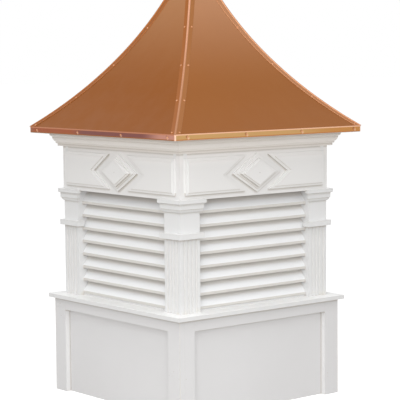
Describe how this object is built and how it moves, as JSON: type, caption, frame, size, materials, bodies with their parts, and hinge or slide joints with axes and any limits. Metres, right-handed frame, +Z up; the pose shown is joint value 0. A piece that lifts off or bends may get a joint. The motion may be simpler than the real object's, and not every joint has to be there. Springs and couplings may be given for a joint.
{
  "type": "barn cupola",
  "caption": "Square louvred roof cupola with a panelled base, fluted corner posts, a frieze with raised diamonds and a concave copper roof.",
  "frame": {"origin": "middle of the square base on its underside", "axes": "+Z up, -Y towards the front face, +X to the right"},
  "size_m": [1.0658, 1.0658, 2.0155],
  "materials": {
    "white_vinyl": "satin white cellular vinyl board",
    "copper": "satin mill copper, lightly tarnished"
  },
  "bodies": {
    "root": {"base_panels": "white_vinyl", "base_rails": "white_vinyl", "base_stiles_front_back": "white_vinyl", "base_stiles_sides": "white_vinyl", "capitals": "white_vinyl", "corner_posts": "white_vinyl", "cornice_front_back": "white_vinyl", "cornice_sides": "white_vinyl", "diamond_blocks": "white_vinyl", "diamond_centres": "white_vinyl", "eave_band_front_back": "copper", "eave_band_sides": "copper", "frieze_fields": "white_vinyl", "frieze_front_back": "white_vinyl", "frieze_sides": "white_vinyl", "hip_caps": "copper", "ledge_front_back": "white_vinyl", "ledge_sides": "white_vinyl", "louver_blades_back": "white_vinyl", "louver_blades_front": "white_vinyl", "louver_blades_left": "white_vinyl", "louver_blades_right": "white_vinyl", "louver_sills": "white_vinyl", "neck_bands": "white_vinyl", "rod_collar": "copper", "roof_cap": "copper", "roof_sheets_front_back": "copper", "roof_sheets_sides": "copper", "soffit_front_back": "white_vinyl", "soffit_sides": "white_vinyl"}
  },
  "joints": []
}
